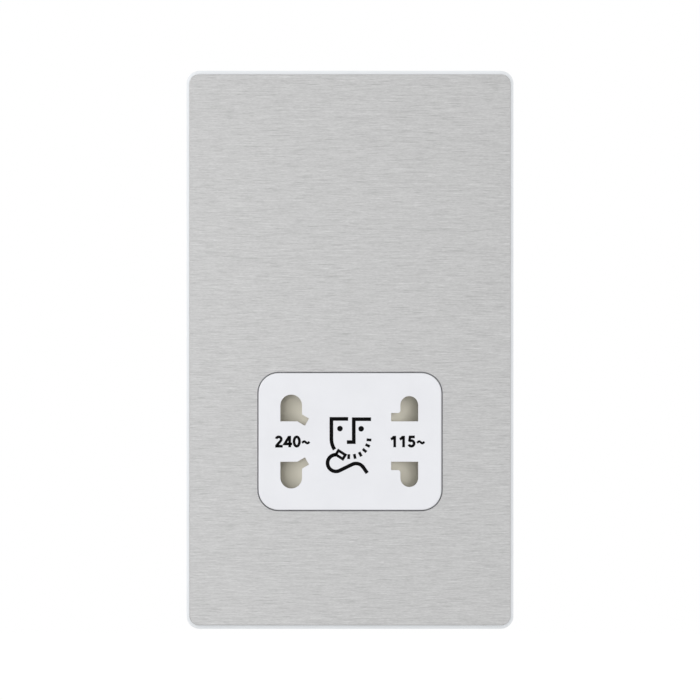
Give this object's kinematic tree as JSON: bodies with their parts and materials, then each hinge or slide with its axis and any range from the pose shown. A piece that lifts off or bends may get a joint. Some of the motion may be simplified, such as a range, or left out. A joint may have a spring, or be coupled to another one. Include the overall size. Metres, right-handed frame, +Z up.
{
  "type": "shaver socket",
  "caption": "Wall shaver supply socket: tall brushed steel plate on a white frame, white socket face with shuttered pin holes, isolating transformer in a vented housing behind.",
  "frame": {"origin": "centre of the mounting pattern, on the wall plane, midway between the two fixing holes", "axes": "+Z up, +X to the right seen from the front, the front faces -Y and the housing runs into the wall box along +Y"},
  "size_m": [0.086, 0.0459, 0.1468],
  "materials": {
    "brushed_steel": "horizontally brushed stainless steel",
    "white_frame": "moulded white polycarbonate, satin",
    "white_face": "moulded white urea, fine satin gloss",
    "beige_shutter": "moulded beige-grey nylon",
    "carrier_plastic": "moulded dark nylon",
    "body_plastic": "moulded off-white urea",
    "housing_plastic": "moulded light grey polycarbonate",
    "spring_steel": "drawn spring wire",
    "bronze": "rolled phosphor bronze strip",
    "brass": "machined brass",
    "lamination": "varnished silicon steel laminations",
    "bobbin_nylon": "moulded glass-filled nylon",
    "copper": "enamelled copper wire",
    "tape": "polyester insulating tape",
    "zinc_steel": "zinc plated steel",
    "cutout_black": "moulded black phenolic",
    "lead_brown": "PVC insulation",
    "lead_blue": "PVC insulation",
    "lead_green": "PVC insulation, green with yellow",
    "lead_white": "PVC insulation"
  },
  "bodies": {
    "socket": {"front_plate": "brushed_steel", "clip_carrier": "carrier_plastic", "mounting_frame": "white_frame", "socket_face": "white_face", "shutter_spring_240": "spring_steel", "shutter_spring_115": "spring_steel", "socket_body": "body_plastic", "contact_240_upper": "bronze", "contact_240_lower": "bronze", "contact_115_upper": "bronze", "contact_115_lower": "bronze", "contact_cover": "body_plastic", "switch_leaf_240": "bronze", "switch_leaf_115": "bronze", "contact_link": "bronze", "core_e_laminations": "lamination", "core_i_laminations": "lamination", "bobbin": "bobbin_nylon", "primary_winding": "copper", "secondary_winding": "copper", "primary_tape": "tape", "secondary_tape": "tape", "core_clamp": "zinc_steel", "thermal_cutout": "cutout_black", "rear_housing": "housing_plastic", "terminal_block": "body_plastic", "terminal_live": "brass", "terminal_neutral": "brass", "terminal_earth": "brass", "earth_clip": "zinc_steel", "housing_screws": "zinc_steel", "body_screws": "zinc_steel", "clamp_screws": "zinc_steel", "terminal_screws": "zinc_steel", "lead_live": "lead_brown", "lead_neutral": "lead_blue", "lead_earth": "lead_green", "lead_switch": "lead_brown", "lead_240": "lead_white", "lead_115": "lead_white", "lead_common": "lead_white"},
    "shutter_240": {"shutter_240": "beige_shutter"},
    "shutter_115": {"shutter_115": "beige_shutter"}
  },
  "joints": [
    {"name": "shutter_240_slide", "type": "slide", "parent": "socket", "child": "shutter_240", "axis": [1, 0, 0], "range_m": [0, 0.008], "stiffness_N_per_m": 100, "springref_m": -0.004, "deforming": ["shutter_spring_240", "switch_leaf_240"]},
    {"name": "shutter_115_slide", "type": "slide", "parent": "socket", "child": "shutter_115", "axis": [-1, 0, 0], "range_m": [0, 0.008], "stiffness_N_per_m": 100, "springref_m": -0.004, "deforming": ["shutter_spring_115", "switch_leaf_115"]}
  ]
}
